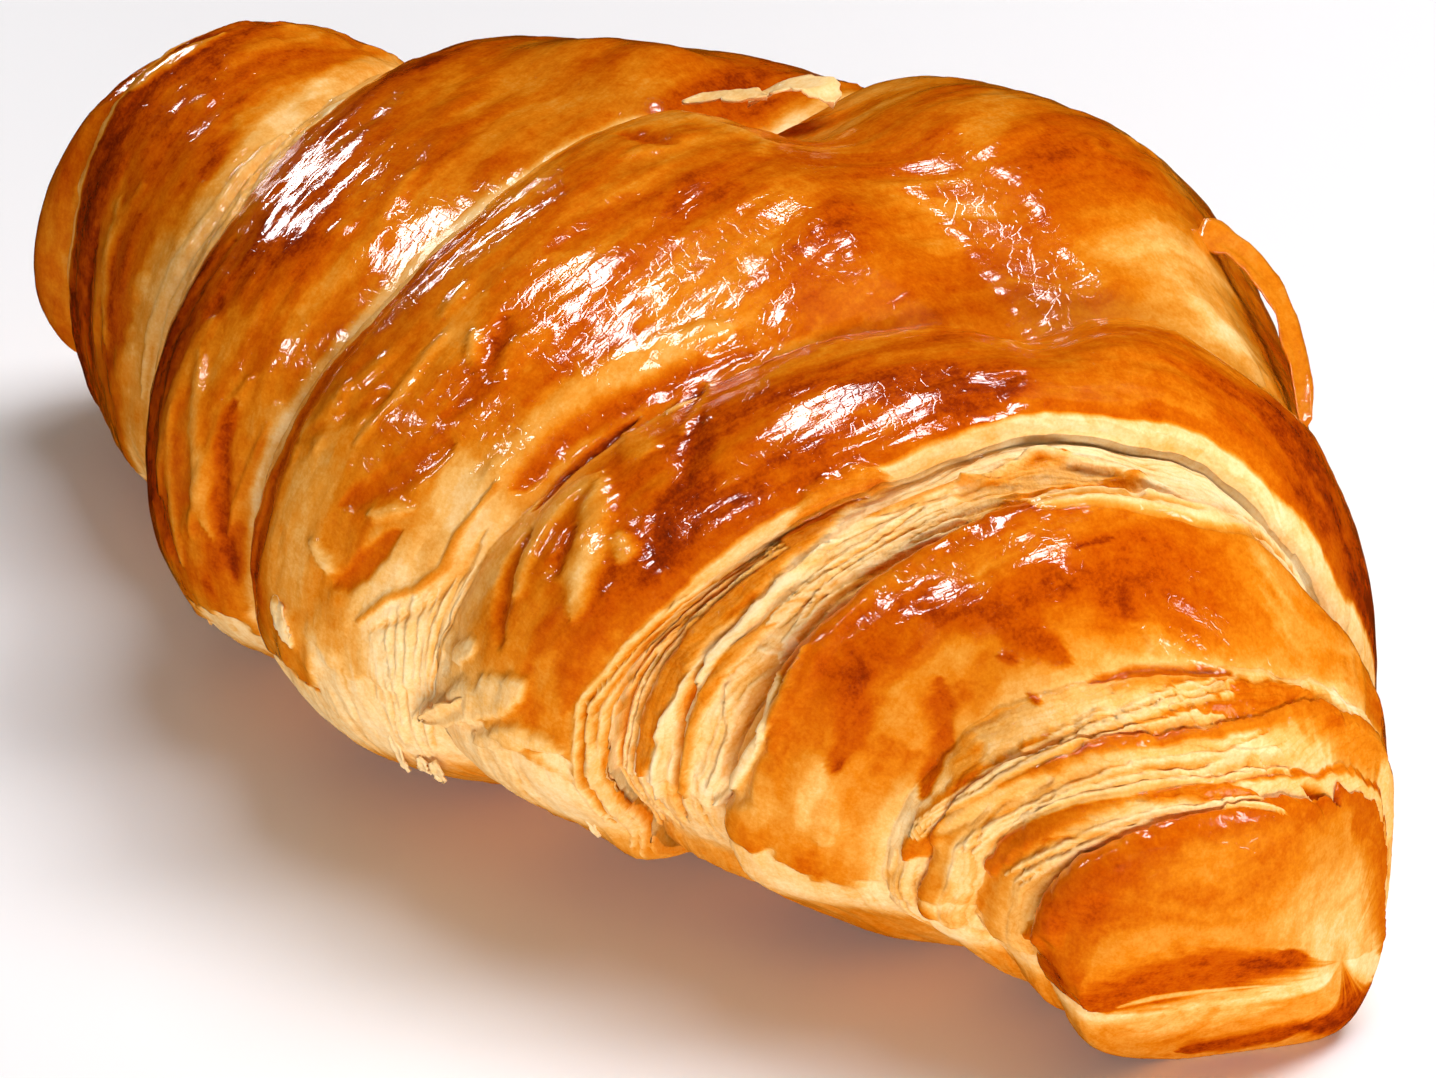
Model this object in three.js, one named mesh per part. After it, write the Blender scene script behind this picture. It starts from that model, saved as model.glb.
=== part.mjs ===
import * as THREE from 'three';
import { mergeVertices } from 'three/addons/utils/BufferGeometryUtils.js';

// Butter croissant: a triangle of laminated dough rolled up into overlapping wraps and baked plump.
// Millimetres, +Z up. X runs from the far tip to the near tip, -Y is the front, and it lies on its
// own flattened underside.

// Driving sizes of the whole roll
const LENGTH = 150;        // before the near tip is cut off square
const HALF_LENGTH = LENGTH / 2;
const ROUNDNESS = 2.25;    // exponent of a section: 2 is an ellipse, more is boxier
const BELLY = 0.43;        // share of the height that lies below the widest level
const TIP_START = 0.9;     // where the blunt tips begin to close, as a share of the half length
const FAR_BLUNT = 2;       // exponent of the far tip's closing curve: 2 is round
const NEAR_BLUNT = 3;      // and of the near tip's, which is squarer
const PRESSED = 1.6;       // how far the soft underside is pressed flat by its own weight
const CENTRE_X = -1.0;     // middle of the outline seen from above, along the roll
const CENTRE_Y = -0.46;    // and across it

// Sections of the roll, from the far tip at -1 to the near tip at +1. The offset is how far the
// section's middle lies behind the X axis, and the lift is how far its underside curls up.
const SECTIONS = [
  { at: -1.00, halfWidth: 10.0, height: 26.0, offset: -13.5, lift: 9.0 },
  { at: -0.88, halfWidth: 13.0, height: 38.5, offset: -6.5, lift: 4.5 },
  { at: -0.66, halfWidth: 25.0, height: 44.0, offset: -3.5, lift: 1.0 },
  { at: -0.33, halfWidth: 36.0, height: 52.0, offset: -4.5, lift: 0.0 },
  { at: 0.00, halfWidth: 42.0, height: 57.0, offset: -1.0, lift: 0.5 },
  { at: 0.33, halfWidth: 37.5, height: 56.0, offset: 1.0, lift: 1.5 },
  { at: 0.66, halfWidth: 26.5, height: 48.0, offset: -2.5, lift: 1.5 },
  { at: 0.88, halfWidth: 15.5, height: 34.0, offset: -8.0, lift: 1.5 },
  { at: 1.00, halfWidth: 7.0, height: 20.0, offset: -5.0, lift: 3.0 },
];

// Folds from the far tip to the near tip. Each starts at an edge that runs round the roll, given by
// its X every 60 degrees from the front over the top, and dips to its foot there. The fold rises to
// its crest, at a share of its width, with steep or sloping sides. Columns are mesh lines across it.
const STEEP = { power: 3, root: 2.2 };
const SLOPE = { power: 2, root: 1 };
const FOLDS = [
  { name: 'far tip', foot: 0, rise: -0.3, crest: 0.7, sides: [SLOPE, SLOPE], columns: 7,
    edge: [-75, -75, -75, -75, -75, -75] },
  { name: 'far wrap', foot: -0.8, rise: 1.5, crest: 0.16, sides: [STEEP, SLOPE], columns: 10,
    edge: [-66, -65, -62.5, -61, -62.5, -65] },
  { name: 'far pale band', foot: -2.2, rise: -1.6, crest: 0.5, sides: [SLOPE, SLOPE], columns: 3,
    edge: [-44.6, -43, -50, -51, -49, -47] },
  { name: 'second wrap', foot: -2.4, rise: 1.9, crest: 0.26, sides: [STEEP, SLOPE], columns: 12,
    edge: [-38.2, -38, -43.5, -44, -42, -40] },
  { name: 'edge of the middle wrap', foot: -2.2, rise: -1.8, crest: 0.5, sides: [SLOPE, SLOPE], columns: 3,
    edge: [-18.5, -12.8, -8.8, -9, -9, -14], flap: true },
  { name: 'middle wrap', foot: -2.0, rise: 1.7, crest: 0.3, sides: [STEEP, SLOPE], columns: 19,
    edge: [-16.6, -11, -7.6, -3, 0.5, -11], flap: true },
  { name: 'near wrap', foot: -2.0, rise: 1.7, crest: 0.76, sides: [SLOPE, STEEP], columns: 13,
    edge: [5.5, 21.6, 44.6, 50, 37, 10] },
  { name: 'near pale band', foot: -2.1, rise: -0.9, crest: 0.55, sides: [SLOPE, SLOPE], columns: 5,
    edge: [22, 38.6, 58.5, 61, 48, 25] },
  { name: 'last wrap', foot: -1.8, rise: 1.4, crest: 0.2, sides: [STEEP, SLOPE], columns: 12,
    edge: [33, 46, 63, 66, 55, 35] },
  { name: 'first pale step', foot: -0.6, rise: -0.2, crest: 0.5, sides: [SLOPE, SLOPE], columns: 3,
    edge: [45.5, 59, 67.3, 69, 62, 47] },
  { name: 'brown step', foot: -1.1, rise: 0.5, crest: 0.35, sides: [STEEP, SLOPE], columns: 3,
    edge: [49, 63.4, 68.8, 70.4, 65, 50.5] },
  { name: 'second pale step', foot: -0.9, rise: -0.3, crest: 0.5, sides: [SLOPE, SLOPE], columns: 3,
    edge: [53, 66.4, 70.7, 71.8, 67.5, 54.5] },
  { name: 'near tip', foot: -1.3, rise: 0.8, crest: 0.3, sides: [STEEP, SLOPE], columns: 10,
    edge: [58.3, 69, 72.3, 73, 70, 60] },
  { name: 'end of the near tip', foot: 0, rise: 0, crest: 0.5, sides: [SLOPE, SLOPE], columns: 0,
    edge: [75, 75, 75, 75, 75, 75] },
];

// The middle wrap ends in a flap on top. Behind the flap its edge starts further along.
const FLAP = { corner: 91, back: 98, step: 5.5, fadeFrom: 130, fadeTo: 235 };

// Long dents and swellings in the skin: a soft ridge, or a valley where the height is negative, that
// follows a line between two places. A place is an X and an angle in degrees round the roll.
const DENTS = [
  { name: 'crease behind the flap', from: [-4, 98], to: [36, 88], height: -2.2, reach: 4.5 },
  { name: 'hollow behind the flap', from: [-7, 106], to: [0, 104], height: -2.8, reach: 6.5 },
  { name: 'swelling behind the crease', from: [16, 118], to: [34, 118], height: 0.9, reach: 12 },
  { name: 'flat of the back shoulder', from: [14, 138], to: [36, 142], height: -1.4, reach: 11 },
  { name: 'flat under the last wrap', from: [38, -38], to: [56, -34], height: -1.3, reach: 7 },
  { name: 'ridge of the near tip', from: [64, -6], to: [72, 12], height: 1.0, reach: 3 },
  { name: 'bulge under the near tip', from: [56, -42], to: [62, -46], height: 1.4, reach: 5 },
  { name: 'hump behind the flap', from: [-24, 104], to: [-17, 104], height: 1.6, reach: 5 },
  { name: 'dip behind the near wrap', from: [52, 106], to: [60, 130], height: -0.9, reach: 6 },
  { name: 'knob behind the brown step', from: [66, 120], to: [69, 140], height: 1.3, reach: 4 },
  { name: 'tongue under the near pale band', from: [22, -37], to: [28, -42], height: 2.4, reach: 4 },
];

// Flat places where the dough was cut: a plane through a place, facing out, with a rounded rim
const FLATS = [
  { name: 'underside of the near tip', through: [66.4, -13.4, 1.5],
    facing: [0.76, -0.52, -0.39], rim: 0.5 },
  { name: 'end of the near tip', through: [73.83, -5, 12],
    facing: [0.99, 0.1, 0.07], rim: 0.6 },
];

// Rows of the mesh round the roll
const ROWS = 56;

// Slow swells that leave no two wraps alike: height, waves along the roll, waves round it, phase
const SWELLS = [
  { height: 0.55, along: 1.6, around: 2, phase: 0.4 },
  { height: 0.45, along: 3.1, around: 3, phase: 2.1 },
  { height: 0.35, along: 4.7, around: 1, phase: 4.0 },
  { height: 0.25, along: 6.3, around: 5, phase: 1.2 },
];

// A smooth curve through one size of the sections
function sectionSize(key, at) {
  let i = 0;
  while (i < SECTIONS.length - 2 && at > SECTIONS[i + 1].at) i += 1;
  const slope = (k) => {
    const before = SECTIONS[Math.max(k - 1, 0)];
    const after = SECTIONS[Math.min(k + 1, SECTIONS.length - 1)];
    return (after[key] - before[key]) / (after.at - before.at);
  };
  const start = SECTIONS[i];
  const end = SECTIONS[i + 1];
  const span = end.at - start.at;
  const t = (at - start.at) / span;
  const blend = t * t * (3 - 2 * t);
  const leave = t * (1 - t) * (1 - t) * span * slope(i);
  const arrive = t * t * (1 - t) * span * slope(i + 1);
  return start[key] + (end[key] - start[key]) * blend + leave - arrive;
}

// A smooth closed curve through values spaced evenly round the roll
function around(values, angle) {
  const count = values.length;
  const place = (angle / (2 * Math.PI)) * count;
  const i = Math.floor(place);
  const t = place - i;
  const [p0, p1, p2, p3] = [i + count - 1, i, i + 1, i + 2].map((k) => values[k % count]);
  const bend = 2 * p0 - 5 * p1 + 4 * p2 - p3;
  const twist = 3 * (p1 - p2) + p3 - p0;
  return p1 + 0.5 * t * ((p2 - p0) + t * (bend + t * twist));
}

// Signed power, the building block of a rounded box section
function rounded(value) {
  return Math.sign(value) * Math.abs(value) ** (2 / ROUNDNESS);
}

// Height of a fold at a share t of its width, over its feet at both ends
function foldHeight(fold, next, t) {
  const [side, reach] = t < fold.crest
    ? [fold.sides[0], (fold.crest - t) / fold.crest]
    : [fold.sides[1], (t - fold.crest) / (1 - fold.crest)];
  const arch = (1 - reach ** side.power) ** (1 / side.root);
  const foot = fold.foot + (next.foot - fold.foot) * t;
  return foot + (fold.rise - foot) * arch;
}

// Height of the slow swells
function swellHeight(along, angle) {
  return SWELLS.reduce((sum, { height, along: lengthwise, around: crosswise, phase }) => (
    sum + height * Math.sin(lengthwise * along * Math.PI + phase) * Math.cos(crosswise * angle + phase)
  ), 0);
}

// Height of the long dents and swellings at a place, with distances measured on the skin
function dentHeight(x, angle) {
  const girth = sectionSize('halfWidth', x / HALF_LENGTH);
  return DENTS.reduce((sum, dent) => {
    const [fromX, fromAngle] = dent.from;
    const run = [dent.to[0] - fromX, THREE.MathUtils.degToRad(dent.to[1] - fromAngle) * girth];
    const turn = angle - THREE.MathUtils.degToRad(fromAngle);
    const here = [x - fromX, (turn > Math.PI ? turn - 2 * Math.PI : turn) * girth];
    const share = (here[0] * run[0] + here[1] * run[1]) / (run[0] ** 2 + run[1] ** 2);
    const nearest = Math.min(1, Math.max(0, share));
    const gap = Math.hypot(here[0] - nearest * run[0], here[1] - nearest * run[1]) / dent.reach;
    return sum + dent.height * Math.exp(-(gap ** 2));
  }, 0);
}

// Smooth step from 0 to 1 between two values
function smoothStep(from, to, value) {
  const t = THREE.MathUtils.clamp((value - from) / (to - from), 0, 1);
  return t * t * (3 - 2 * t);
}

// X of a fold's edge at an angle round the roll
function edgeAt(fold, angle) {
  const degrees = THREE.MathUtils.radToDeg(angle);
  const rise = smoothStep(FLAP.corner, FLAP.back, degrees);
  const fade = smoothStep(FLAP.fadeFrom, FLAP.fadeTo, degrees);
  const step = fold.flap ? FLAP.step * rise * (1 - fade) : 0;
  return around(fold.edge, angle) + step;
}

// A point pressed back behind the flat places
function flattened(point) {
  const pressed = new THREE.Vector3(...point);
  for (const { through, facing, rim } of FLATS) {
    const out = new THREE.Vector3(...facing).normalize();
    const gap = pressed.clone().sub(new THREE.Vector3(...through)).dot(out);
    pressed.addScaledVector(out, -rim * Math.log1p(Math.exp(gap / rim)));
  }
  return pressed.toArray();
}

// Point of the skin on a fold at a share t of its width and an angle round the roll, 0 at the front
function skinPoint(fold, next, t, angle) {
  const x = edgeAt(fold, angle) * (1 - t) + edgeAt(next, angle) * t;
  const along = x / HALF_LENGTH;
  const closing = Math.max(0, (Math.abs(along) - TIP_START) / (1 - TIP_START));
  const blunt = along > 0 ? NEAR_BLUNT : FAR_BLUNT;
  const tip = Math.max(0, 1 - closing ** blunt) ** (1 / blunt);
  const height = sectionSize('height', along);
  const middle = sectionSize('lift', along) + height * BELLY;
  const share = Math.sin(angle) > 0 ? 1 - BELLY : BELLY;
  const outY = -sectionSize('halfWidth', along) * rounded(Math.cos(angle));
  const outZ = height * share * rounded(Math.sin(angle));
  const raised = foldHeight(fold, next, t) + swellHeight(along, angle) + dentHeight(x, angle);
  const relief = raised / Math.hypot(outY, outZ);
  const y = sectionSize('offset', along) + outY * (1 + relief) * tip;
  const z = middle + outZ * (1 + relief) * tip;
  const point = flattened([x - CENTRE_X, y - CENTRE_Y, z - PRESSED]);
  return [point[0], point[1], Math.max(0, point[2])];
}

// Skin of the whole roll: one ring of points for each mesh column, closed by a point at each tip
function croissantGeometry() {
  const points = [];
  let rings = 0;
  for (let f = 0; f < FOLDS.length - 1; f += 1) {
    const fold = FOLDS[f];
    const first = f === 0 ? 1 : 0;
    for (let c = first; c < fold.columns; c += 1) {
      for (let row = 0; row < ROWS; row += 1) {
        points.push(...skinPoint(fold, FOLDS[f + 1], c / fold.columns, (row / ROWS) * 2 * Math.PI));
      }
      rings += 1;
    }
  }
  const farPole = rings * ROWS;
  const nearPole = farPole + 1;
  points.push(...skinPoint(FOLDS[0], FOLDS[1], 0, 0));
  points.push(...skinPoint(FOLDS[FOLDS.length - 2], FOLDS[FOLDS.length - 1], 1, 0));

  const faces = [];
  const lastRing = (rings - 1) * ROWS;
  for (let row = 0; row < ROWS; row += 1) {
    const next = (row + 1) % ROWS;
    faces.push(farPole, row, next);
    faces.push(nearPole, lastRing + next, lastRing + row);
    for (let ring = 0; ring < lastRing; ring += ROWS) {
      const [a, b, c, d] = [ring + row, ring + ROWS + row, ring + ROWS + next, ring + next];
      faces.push(a, b, c, a, c, d);
    }
  }
  const geometry = new THREE.BufferGeometry();
  geometry.setAttribute('position', new THREE.Float32BufferAttribute(points, 3));
  geometry.setIndex(faces);
  const merged = mergeVertices(geometry, 1e-3);
  merged.computeVertexNormals();
  return merged;
}

const crust = new THREE.MeshStandardMaterial({ color: 0xc8721e, roughness: 0.35, metalness: 0 });
const croissant = new THREE.Mesh(croissantGeometry(), crust);
croissant.name = 'croissant';

const group = new THREE.Group();
group.add(croissant);

export default group;
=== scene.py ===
import math
from dataclasses import dataclass

import bpy
import numpy as np
from mathutils import Matrix, Vector


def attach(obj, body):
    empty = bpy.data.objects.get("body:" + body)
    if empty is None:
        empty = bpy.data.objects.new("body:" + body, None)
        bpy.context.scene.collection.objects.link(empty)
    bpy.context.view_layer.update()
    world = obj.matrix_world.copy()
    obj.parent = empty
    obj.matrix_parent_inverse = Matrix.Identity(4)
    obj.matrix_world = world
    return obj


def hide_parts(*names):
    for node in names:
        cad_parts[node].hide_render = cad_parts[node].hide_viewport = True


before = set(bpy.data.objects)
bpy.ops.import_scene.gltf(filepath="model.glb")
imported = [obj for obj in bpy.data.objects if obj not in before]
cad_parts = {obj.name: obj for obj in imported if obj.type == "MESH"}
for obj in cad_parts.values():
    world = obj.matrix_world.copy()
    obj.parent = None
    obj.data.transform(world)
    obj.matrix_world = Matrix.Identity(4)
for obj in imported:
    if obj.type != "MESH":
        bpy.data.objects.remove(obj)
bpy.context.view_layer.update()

# Driving sizes of the roll, in millimetres, with +X towards the near tip and -Y at the front
MM = 0.001
LENGTH = 150.0        # before the near tip is cut off square
HALF_LENGTH = LENGTH / 2
ROUNDNESS = 2.25      # exponent of a section: 2 is an ellipse, more is boxier
BELLY = 0.43          # share of the height that lies below the widest level
TIP_START = 0.9       # where the blunt tips begin to close, as a share of the half length
FAR_BLUNT = 2.0       # exponent of the far tip's closing curve: 2 is round
NEAR_BLUNT = 3.0      # and of the near tip's, which is squarer
PRESSED = 1.6         # how far the soft underside is pressed flat by its own weight
CENTRE_X = -1.0       # middle of the outline seen from above, along the roll
CENTRE_Y = -0.46      # and across it
GIRTH_RADIUS = 35.0   # radius that stands for the roll where a length round it is needed

# Sections of the roll, from the far tip at -1 to the near tip at +1
SECTION_AT = np.array([-1.00, -0.88, -0.66, -0.33, 0.00, 0.33, 0.66, 0.88, 1.00])
HALF_WIDTH = np.array([10.0, 13.0, 25.0, 36.0, 42.0, 37.5, 26.5, 15.5, 7.0])
HEIGHT = np.array([26.0, 38.5, 44.0, 52.0, 57.0, 56.0, 48.0, 34.0, 20.0])
OFFSET = np.array([-13.5, -6.5, -3.5, -4.5, -1.0, 1.0, -2.5, -8.0, -5.0])
LIFT = np.array([9.0, 4.5, 1.0, 0.0, 0.5, 1.5, 1.5, 1.5, 3.0])

# How a side of a fold rises: a power of the distance and a root of the height
STEEP = (3.0, 2.2)
SLOPE = (2.0, 1.0)
WRAP = (STEEP, SLOPE)     # its left and its right side
BAND = (SLOPE, SLOPE)


@dataclass
class Fold:
    """One wrap or band of the roll, from its own edge to the next fold's edge."""
    name: str
    edge: tuple           # X of the edge every 60 degrees from the front over the top
    foot: float           # height of the skin at the edge
    rise: float           # height of the crest
    crest: float          # where the crest is, as a share of the width
    sides: tuple          # how its left and its right side rise
    lines: int            # mesh lines across the fold
    tones: tuple          # browning across the fold: pairs of a share of the width and a tone
    front: tuple = ()     # the same low on the front, where it differs
    torn: float = 0.0     # how torn its pale dough is
    cut: float = 0.0      # width of the pale cut edge at its own edge
    end_cut: float = 0.0  # and at the next fold's edge
    hang: float = 0.0     # how far its lip hangs over the fold before (+) or after it (-)
    flap: bool = False    # whether its edge is the edge of the flap on top


FOLDS = [
    Fold("far tip", (-75,) * 6, 0, -0.3, 0.7, BAND, 26,
         ((0, 0.78), (0.5, 0.72), (0.85, 0.66), (1, 0.5))),
    Fold("far wrap", (-66, -65, -62.5, -61, -62.5, -65), -0.8, 1.5, 0.16, WRAP, 60,
         ((0, 0.5), (0.05, 0.86), (0.2, 0.86), (0.35, 0.78), (0.6, 0.74), (0.8, 0.68), (0.86, 0.42),
          (1, 0.36)),
         front=((0, 0.5), (0.05, 0.9), (0.2, 0.92), (0.35, 0.8), (0.55, 0.78), (0.7, 0.7), (0.77, 0.42),
                (1, 0.36)),
         cut=1.3, hang=0.5),
    Fold("far pale band", (-44.6, -43, -50, -51, -49, -47), -2.2, -1.6, 0.5, BAND, 26,
         ((0, 0.36), (0.3, 0.32), (0.7, 0.28), (1, 0.42)), torn=0.6),
    Fold("second wrap", (-38.2, -38, -43.5, -44, -42, -40), -2.4, 1.9, 0.26, WRAP, 66,
         ((0, 0.5), (0.05, 0.8), (0.14, 0.86), (0.3, 0.74), (0.5, 0.76), (0.66, 0.7), (0.85, 0.78),
          (0.935, 0.72), (0.965, 0.34), (1, 0.3)),
         front=((0, 0.5), (0.06, 0.86), (0.25, 0.92), (0.42, 0.76), (0.56, 0.66), (0.75, 0.84), (0.92, 0.7),
                (0.955, 0.34), (1, 0.3)),
         cut=0.6, hang=0.7),
    # Low on the front this strip is toned darker as painted shade
    Fold("edge of the middle wrap", (-18.5, -12.8, -8.8, -9, -9, -14), -2.2, -1.5, 0.5, BAND, 18,
         ((0, 0.42), (0.3, 0.34), (0.8, 0.36), (1, 0.46)), front=((0, 0.52), (0.5, 0.5), (1, 0.54)),
         torn=0.7, hang=0.4, flap=True),
    Fold("middle wrap", (-16.6, -11, -7.6, -3, 0.5, -11), -2.0, 1.7, 0.3, WRAP, 120,
         ((0, 0.5), (0.03, 0.7), (0.12, 0.66), (0.3, 0.68), (0.45, 0.7), (0.6, 0.74), (0.8, 0.68), (1, 0.68)),
         front=((0, 0.45), (0.06, 0.8), (0.2, 0.68), (0.45, 0.6), (0.6, 0.58), (0.8, 0.36), (1, 0.4)),
         cut=0.4, hang=0.5, flap=True),
    Fold("near wrap", (5.5, 21.6, 44.6, 50, 37, 10), -2.0, 1.7, 0.76, (SLOPE, STEEP), 78,
         ((0, 0.68), (0.15, 0.7), (0.35, 0.78), (0.6, 0.86), (0.8, 0.86), (0.9, 0.78), (1, 0.7)),
         front=((0, 0.52), (0.3, 0.66), (0.6, 0.78), (0.85, 0.7), (1, 0.58)), end_cut=0.9, hang=-0.6),
    Fold("near pale band", (22, 38.6, 58.5, 61, 48, 25), -2.1, -0.9, 0.55, BAND, 60,
         ((0, 0.2), (0.1, 0.1), (0.45, 0.1), (0.6, 0.18), (0.85, 0.24), (1, 0.46)), torn=0.9),
    Fold("last wrap", (33, 46, 63, 66, 55, 35), -1.8, 1.4, 0.2, WRAP, 64,
         ((0, 0.5), (0.06, 0.76), (0.2, 0.69), (0.55, 0.71), (0.8, 0.69), (0.93, 0.56), (1, 0.4)),
         front=((0, 0.5), (0.08, 0.72), (0.3, 0.76), (0.6, 0.7), (0.85, 0.72), (1, 0.44)), hang=0.5),
    Fold("first pale step", (45.5, 59, 67.3, 69, 62, 47), -0.6, -0.2, 0.5, BAND, 26,
         ((0, 0.4), (0.2, 0.3), (0.7, 0.26), (1, 0.38)),
         front=((0, 0.4), (0.2, 0.32), (0.7, 0.28), (1, 0.44)), torn=0.8),
    Fold("second step", (49, 63.4, 68.8, 70.4, 65, 50.5), -1.1, 0.5, 0.35, WRAP, 30,
         ((0, 0.6), (0.1, 0.76), (0.26, 0.72), (0.38, 0.34), (1, 0.27)),
         front=((0, 0.6), (0.1, 0.76), (0.36, 0.68), (0.5, 0.4), (1, 0.3)), torn=0.8, hang=0.3),
    Fold("third step", (53, 66.4, 70.7, 71.8, 67.5, 54.5), -0.9, -0.3, 0.5, BAND, 30,
         ((0, 0.6), (0.1, 0.74), (0.24, 0.7), (0.36, 0.3), (0.85, 0.2), (1, 0.4)),
         front=((0, 0.6), (0.1, 0.74), (0.4, 0.66), (0.54, 0.4), (0.85, 0.32), (1, 0.44)), torn=0.8),
    Fold("near tip", (58.3, 69, 72.3, 73, 70, 60), -1.3, 0.8, 0.3, WRAP, 56,
         ((0, 0.55), (0.1, 0.76), (0.3, 0.6), (0.6, 0.55), (0.85, 0.54), (1, 0.5)),
         front=((0, 0.55), (0.1, 0.8), (0.3, 0.74), (0.6, 0.7), (0.85, 0.66), (1, 0.5)), hang=0.4),
    Fold("end of the near tip", (75,) * 6, 0, 0, 0.5, BAND, 0, ((0, 0.36), (1, 0.36))),
]

# The middle wrap ends in a flap on top. Behind the flap its edge starts further along.
FLAP_CORNER = 91.0    # angle of the flap's corner
FLAP_BACK = 98.0      # angle from which the edge starts further along
FLAP_STEP = 5.5       # how much further
FLAP_FADE = (130.0, 235.0)   # angles over which it comes back to its line

# Long dents and swellings: from a place to a place, each an X and an angle in degrees, height, reach
DENTS = [
    ((-4, 98), (36, 88), -2.2, 4.5),  # crease behind the flap
    ((-7, 106), (0, 104), -2.8, 6.5),  # hollow behind the flap
    ((16, 118), (34, 118), 0.9, 12),  # swelling behind the crease
    ((14, 138), (36, 142), -1.4, 11),  # flat of the back shoulder
    ((38, -38), (56, -34), -1.3, 7),  # flat under the last wrap
    ((64, -6), (72, 12), 1.0, 3),  # ridge of the near tip
    ((56, -42), (62, -46), 1.4, 5),  # bulge under the near tip
    ((-24, 104), (-17, 104), 1.6, 5),  # hump behind the flap
    ((52, 106), (60, 130), -0.9, 6),  # dip behind the near wrap
    ((66, 120), (69, 140), 1.3, 4),  # knob behind the brown step
    ((22, -37), (28, -42), 2.4, 4),  # tongue under the near pale band
]

# Flat places where the dough was cut: a plane through a place, facing out, with a rounded rim
FLATS = [
    ((66.4, -13.4, 1.5), (0.76, -0.52, -0.39), 0.5),   # underside of the near tip
    ((73.83, -5, 12), (0.99, 0.1, 0.07), 0.6),         # end of the near tip
]

# Slow swells: height, waves along the roll, waves round it, phase
SWELLS = [(0.55, 1.6, 2, 0.4), (0.45, 3.1, 3, 2.1), (0.35, 4.7, 1, 4.0), (0.25, 6.3, 5, 1.2)]


@dataclass
class Mark:
    """A blister, ribbon, crack or stain that follows a line of places on the skin; some grooves among them
    are darkened with painted shade.
    """
    line: tuple           # places, each an X and an angle in degrees round the roll
    width: float          # millimetres across its middle
    rise: float = 0.0     # height over the skin round it, or depth where negative
    tone: float = None    # tone that it is baked to, where it differs; in the darkened grooves, slits and hollows it is painted shade
    soft: float = 0.5     # share of the width over which its sides fade
    torn: float = None    # how torn its surface is, where it differs
    change: float = 0.0   # change of tone against the skin round it


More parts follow.
